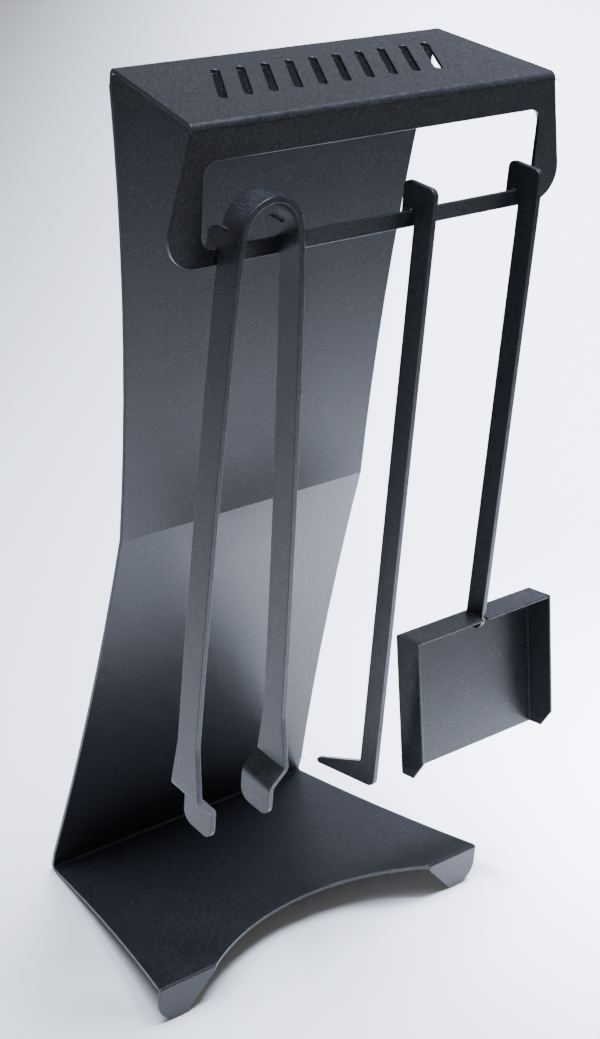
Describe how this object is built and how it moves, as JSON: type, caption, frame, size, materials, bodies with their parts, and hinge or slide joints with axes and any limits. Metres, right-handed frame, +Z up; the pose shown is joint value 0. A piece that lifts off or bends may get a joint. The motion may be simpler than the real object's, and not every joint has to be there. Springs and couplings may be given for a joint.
{
  "type": "fireplace tool set",
  "caption": "Fireplace tool set: a stand folded from one steel sheet, with a poker, a shovel and spring tongs hung on its front rail.",
  "frame": {"origin": "on the floor, under the middle of the whole set's bounding box", "axes": "+Z up, +X to the right as seen from the front, +Y towards the back; the tools hang on the -Y side"},
  "size_m": [0.3408, 0.2122, 0.6437],
  "materials": {
    "stand_powder_coat": "black powder coat with a fine sandy texture, satin to matt",
    "tool_powder_coat": "black powder coat with a fine sandy texture, satin to matt"
  },
  "bodies": {
    "stand": {"stand": "stand_powder_coat"},
    "poker": {"poker": "tool_powder_coat"},
    "shovel": {"shovel_handle": "tool_powder_coat", "shovel_pan": "tool_powder_coat", "shovel_weld_left": "tool_powder_coat", "shovel_weld_right": "tool_powder_coat"},
    "tongs": {"tongs_bow": "tool_powder_coat"},
    "tongs_left": {"tongs_left_leg": "tool_powder_coat"},
    "tongs_right": {"tongs_right_leg": "tool_powder_coat"}
  },
  "joints": [
    {"name": "poker_lift", "type": "slide", "parent": "stand", "child": "poker", "axis": [0, 0, 1], "range_m": [0, 0.033]},
    {"name": "shovel_lift", "type": "slide", "parent": "stand", "child": "shovel", "axis": [0, 0, 1], "range_m": [0, 0.033]},
    {"name": "tongs_lift", "type": "slide", "parent": "stand", "child": "tongs", "axis": [0, 0, 1], "range_m": [0, 0.017]},
    {"name": "tongs_squeeze_left", "type": "hinge", "parent": "tongs", "child": "tongs_left", "pos_m": [-0.1358, -0.07892, 0.549], "axis": [0, -1, 0], "range_deg": [0, 3.1], "stiffness_Nm_per_rad": 37},
    {"name": "tongs_squeeze_right", "type": "hinge", "parent": "tongs", "child": "tongs_right", "pos_m": [-0.08932, -0.07892, 0.549], "axis": [0, 1, 0], "range_deg": [0, 3.1], "stiffness_Nm_per_rad": 37}
  ],
  "couplings": [
    {"joint": "tongs_squeeze_right", "follows": "tongs_squeeze_left", "ratio": 1}
  ]
}
